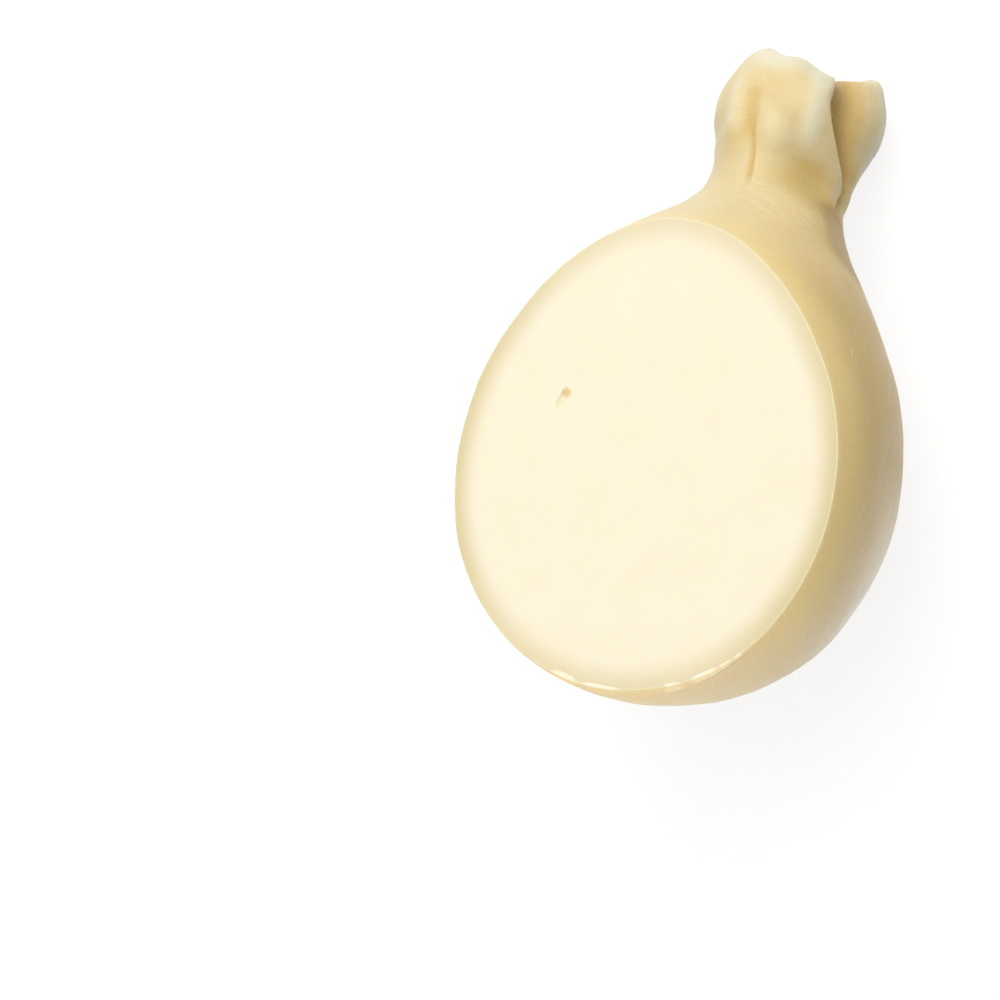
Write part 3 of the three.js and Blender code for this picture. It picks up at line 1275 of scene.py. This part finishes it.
@dataclass(frozen=True)
class PasteFinish:
    """Close ivory paste, faintly mottled, turning straw towards the rind."""

    ivory: Colour = (0.875, 0.808, 0.635)
    cream: Colour = (0.875, 0.793, 0.605)
    rim: Colour = (0.69, 0.59, 0.335)
    crown_heights: Pair = (8.0, 60.0)
    crown_fade: float = 0.38
    foot_heights: Pair = (-36.0, -64.0)
    foot_fade: float = 0.3
    hollow: Colour = (0.875, 0.755, 0.45)
    rim_widths: Pair = (9.4, -0.5)
    rim_waver: float = 2.0
    hollow_depths: Pair = (0.0, 1.6)
    mottle: Pattern = Pattern(70.0, 4.0, 0.6, shown=(0.35, 0.7))
    fine: Pattern = Pattern(420.0, 3.0)
    fine_depth: float = 0.00005
    roughness: float = 0.52
    roughness_swing: float = 0.12
    flesh: Flesh = field(default_factory=Flesh)

    def material(self) -> bpy.types.Material:
        """Builds the paste's material.

        Returns:
            The material.
        """
        shader = Shader("paste")
        place = shader.place()
        height = shader.height(shader.mark(Mark.GRAIN, "Vector"))
        edge = shader.mark(Mark.EDGE)
        depth = shader.mark(Mark.DEPTH)
        mottle = shader.noise(place, self.mottle)
        fine = shader.noise(place, self.fine)
        uneven = edge + (mottle - 0.5) * self.rim_waver
        colour = shader.mix(self.mottle.shows(mottle), self.ivory, self.cream)
        faint = height.ease(*self.crown_heights) * self.crown_fade
        faint = faint + height.ease(*self.foot_heights) * self.foot_fade
        band = uneven.ease(*self.rim_widths) * (1.0 - faint)
        colour = shader.mix(band, colour, self.rim)
        colour = shader.mix(depth.ease(*self.hollow_depths), colour, self.hollow)
        return shader.finish(
            Base_Color=colour,
            Roughness=self.roughness + fine * self.roughness_swing,
            Normal=shader.bump(fine, self.fine_depth),
            **self.flesh.sockets(),
        )


@dataclass(frozen=True)
class BurrFinish:
    """A thin smear of paste along the edge of the cut, with whiter crumbs."""

    white: Colour = (0.90, 0.84, 0.67)
    cream: Colour = (0.88, 0.79, 0.56)
    smear: Colour = (0.81, 0.735, 0.50)
    crumbs: Pattern = Pattern(500.0, 3.0, shown=(0.4, 0.7))
    crumb_depth: float = 0.00008
    roughness: float = 0.5
    roughness_swing: float = 0.2
    flesh: Flesh = field(default_factory=Flesh)

    def material(self) -> bpy.types.Material:
        """Builds the burr's material.

        Returns:
            The material.
        """
        shader = Shader("burr")
        crumbs = shader.noise(shader.place(), self.crumbs)
        colour = shader.mix(self.crumbs.shows(crumbs), self.white, self.cream)
        colour = shader.mix(shader.mark(Mark.CRUMB), self.smear, colour)
        return shader.finish(
            Base_Color=colour,
            Roughness=self.roughness + crumbs * self.roughness_swing,
            Normal=shader.bump(crumbs, self.crumb_depth),
            **self.flesh.sockets(),
        )


@dataclass(frozen=True)
class FloorFinish:
    """A plain white studio floor that glows a little, so that shadows stay light."""

    white: Colour = (0.28, 0.28, 0.28)
    glow: float = 0.83
    bounce: Colour = (0.5, 0.5, 0.5)
    roughness: float = 0.9

    def material(self) -> bpy.types.Material:
        """Builds the floor's material, which throws less light back than it shows.

        Returns:
            The material.
        """
        shader = Shader("floor")
        bounced = shader.node("ShaderNodeLightPath", output="Is Diffuse Ray")
        shader.second(bounced, self.bounce, self.roughness)
        shader.material.cycles.emission_sampling = "NONE"
        return shader.finish(
            Base_Color=self.white,
            Roughness=self.roughness,
            Specular_IOR_Level=0.0,
            Emission_Color=(1.0, 1.0, 1.0),
            Emission_Strength=self.glow,
        )


# The cheese and the studio


@dataclass
class Cheese:
    """The whole piece: its body, the cut and its eye, how it lies, and its finishes."""

    body: Body = field(default_factory=Body)
    cut: Cut = field(default_factory=Cut)
    eye: Eye = field(default_factory=Eye)
    rest: Rest = field(default_factory=Rest)
    rind: RindFinish = field(default_factory=RindFinish)
    paste: PasteFinish = field(default_factory=PasteFinish)
    burr: BurrFinish = field(default_factory=BurrFinish)
    sharp_angle: float = 38.0

    def build(self) -> bpy.types.Object:
        """Models and dresses the cheese.

        Returns:
            The finished piece, riding on the body.
        """
        skin = self.body.build()
        self.dress(skin)
        outline = self.cut.make(skin)
        self.eye.carve(skin, self.cut)
        self.mark_edge(skin, outline)
        self.rest.lay(skin, self.body.profile.belly)
        select_only(skin)
        bpy.ops.object.shade_smooth_by_angle(angle=math.radians(self.sharp_angle))
        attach(skin, BODY)
        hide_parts(CAD_NODE)
        return skin

    def dress(self, skin: bpy.types.Object) -> None:
        """Gives the skin one material for each zone, in the zones' order.

        Args:
            skin: The skin that is dressed.
        """
        finishes = {Zone.RIND: self.rind, Zone.PASTE: self.paste, Zone.BURR: self.burr}
        skin.data.materials.clear()
        for zone in Zone:
            skin.data.materials.append(finishes[zone].material())

    def mark_edge(self, skin: bpy.types.Object, outline: np.ndarray) -> None:
        """Keeps how far each point lies from the edge of the cut, in millimetres.

        Args:
            skin: The cut cheese, upright.
            outline: The outline of the face, in the face's frame.
        """
        tree = KDTree(len(outline))
        for index, point in enumerate(self.cut.from_face(outline)):
            tree.insert(Vector(point), index)
        tree.balance()
        gaps = np.array([tree.find(vertex.co)[2] for vertex in skin.data.vertices])
        store(skin.data, Mark.EDGE, gaps)


@dataclass(frozen=True)
class Softbox:
    """A square soft lamp: the direction it stands in, its distance, size and power.

    A fill lights the piece alone, so that the floor shows neither its light nor its shadow.
    """

    name: str
    stands: Triple
    power: float
    distance: float = 1.6
    size: float = 1.6
    fill: bool = False

    def place(self, aim: Vector, piece: bpy.types.Object) -> None:
        """Hangs the lamp and points it at a place.

        Args:
            aim: The place that it lights.
            piece: The only thing that a fill lights.
        """
        light = bpy.data.lights.new(self.name, "AREA")
        light.size = self.size
        light.energy = self.power
        lamp = bpy.data.objects.new(self.name, light)
        heading = Vector(self.stands).normalized()
        lamp.location = aim + heading * self.distance
        lamp.rotation_mode = "QUATERNION"
        lamp.rotation_quaternion = (-heading).to_track_quat("-Z", "Y")
        bpy.context.scene.collection.objects.link(lamp)
        if self.fill:
            lit = bpy.data.collections.new(self.name)
            lit.objects.link(piece)
            lamp.light_linking.receiver_collection = lit


@dataclass
class Studio:
    """Camera, white floor and soft light."""

    aim: Triple = (-0.03804, -0.05274, 0.10079)
    distance: float = 0.96079
    azimuth: float = 85.188
    elevation: float = 49.344
    roll: float = 76.82
    field_of_view: float = 18.0
    floor_size: float = 6.0
    floor: FloorFinish = field(default_factory=FloorFinish)
    sky: float = 0.36
    lamps: tuple[Softbox, ...] = (
        Softbox("head_lamp", (-0.12, 0.8, 0.55), 5.8, distance=1.3, size=0.9),
        Softbox("belly_lamp", (-0.1, -0.85, 0.52), 14.5, size=1.2, fill=True),
        Softbox("top_lamp", (0.1, 0.45, 0.89), 12.5),
        Softbox("side_lamp", (0.7, 0.35, 0.62), 3.2),
    )

    def build(self, piece: bpy.types.Object) -> None:
        """Sets up camera, floor and light.

        Args:
            piece: What is shown.
        """
        self.place_camera()
        self.lay_floor()
        self.light(piece)

    def place_camera(self) -> None:
        """Puts the camera at the photograph's viewing angle, turned about its line of sight."""
        azimuth, elevation, roll = map(math.radians, (self.azimuth, self.elevation, self.roll))
        back = Vector(
            (
                math.sin(azimuth) * math.cos(elevation),
                -math.cos(azimuth) * math.cos(elevation),
                math.sin(elevation),
            )
        )
        level = Vector((math.cos(azimuth), math.sin(azimuth), 0.0))
        upright = back.cross(level)
        right = level * math.cos(roll) - upright * math.sin(roll)
        turned = Matrix((right, back.cross(right), back)).transposed().to_4x4()
        camera = bpy.data.objects.new("camera", bpy.data.cameras.new("camera"))
        camera.data.angle = math.radians(self.field_of_view)
        camera.matrix_world = Matrix.Translation(Vector(self.aim) + back * self.distance) @ turned
        bpy.context.scene.collection.objects.link(camera)
        bpy.context.scene.camera = camera

    def lay_floor(self) -> None:
        """Lays the floor under the cheese."""
        bpy.ops.object.select_all(action="DESELECT")
        bpy.ops.mesh.primitive_plane_add(size=self.floor_size)
        floor = bpy.context.object
        floor.name = floor.data.name = "floor"
        floor.data.materials.append(self.floor.material())

    def light(self, piece: bpy.types.Object) -> None:
        """Adds an even sky and the lamps, and keeps whites plain.

        Args:
            piece: What is shown.
        """
        scene = bpy.context.scene
        scene.world = bpy.data.worlds.new("sky")
        scene.world.use_nodes = True
        background = scene.world.node_tree.nodes["Background"]
        background.inputs["Color"].default_value = (1.0, 1.0, 1.0, 1.0)
        background.inputs["Strength"].default_value = self.sky
        for lamp in self.lamps:
            lamp.place(Vector(self.aim), piece)
        scene.view_settings.view_transform = "Standard"


def main() -> None:
    """Builds the cheese and the studio."""
    logging.basicConfig(level=logging.INFO, format="%(message)s")
    piece = Cheese().build()
    piece.name = piece.data.name = "cheese_body"
    LOG.info("%s: %d faces", piece.name, len(piece.data.polygons))
    Studio().build(piece)
    LOG.info("studio ready")


if __name__ == "__main__":
    main()
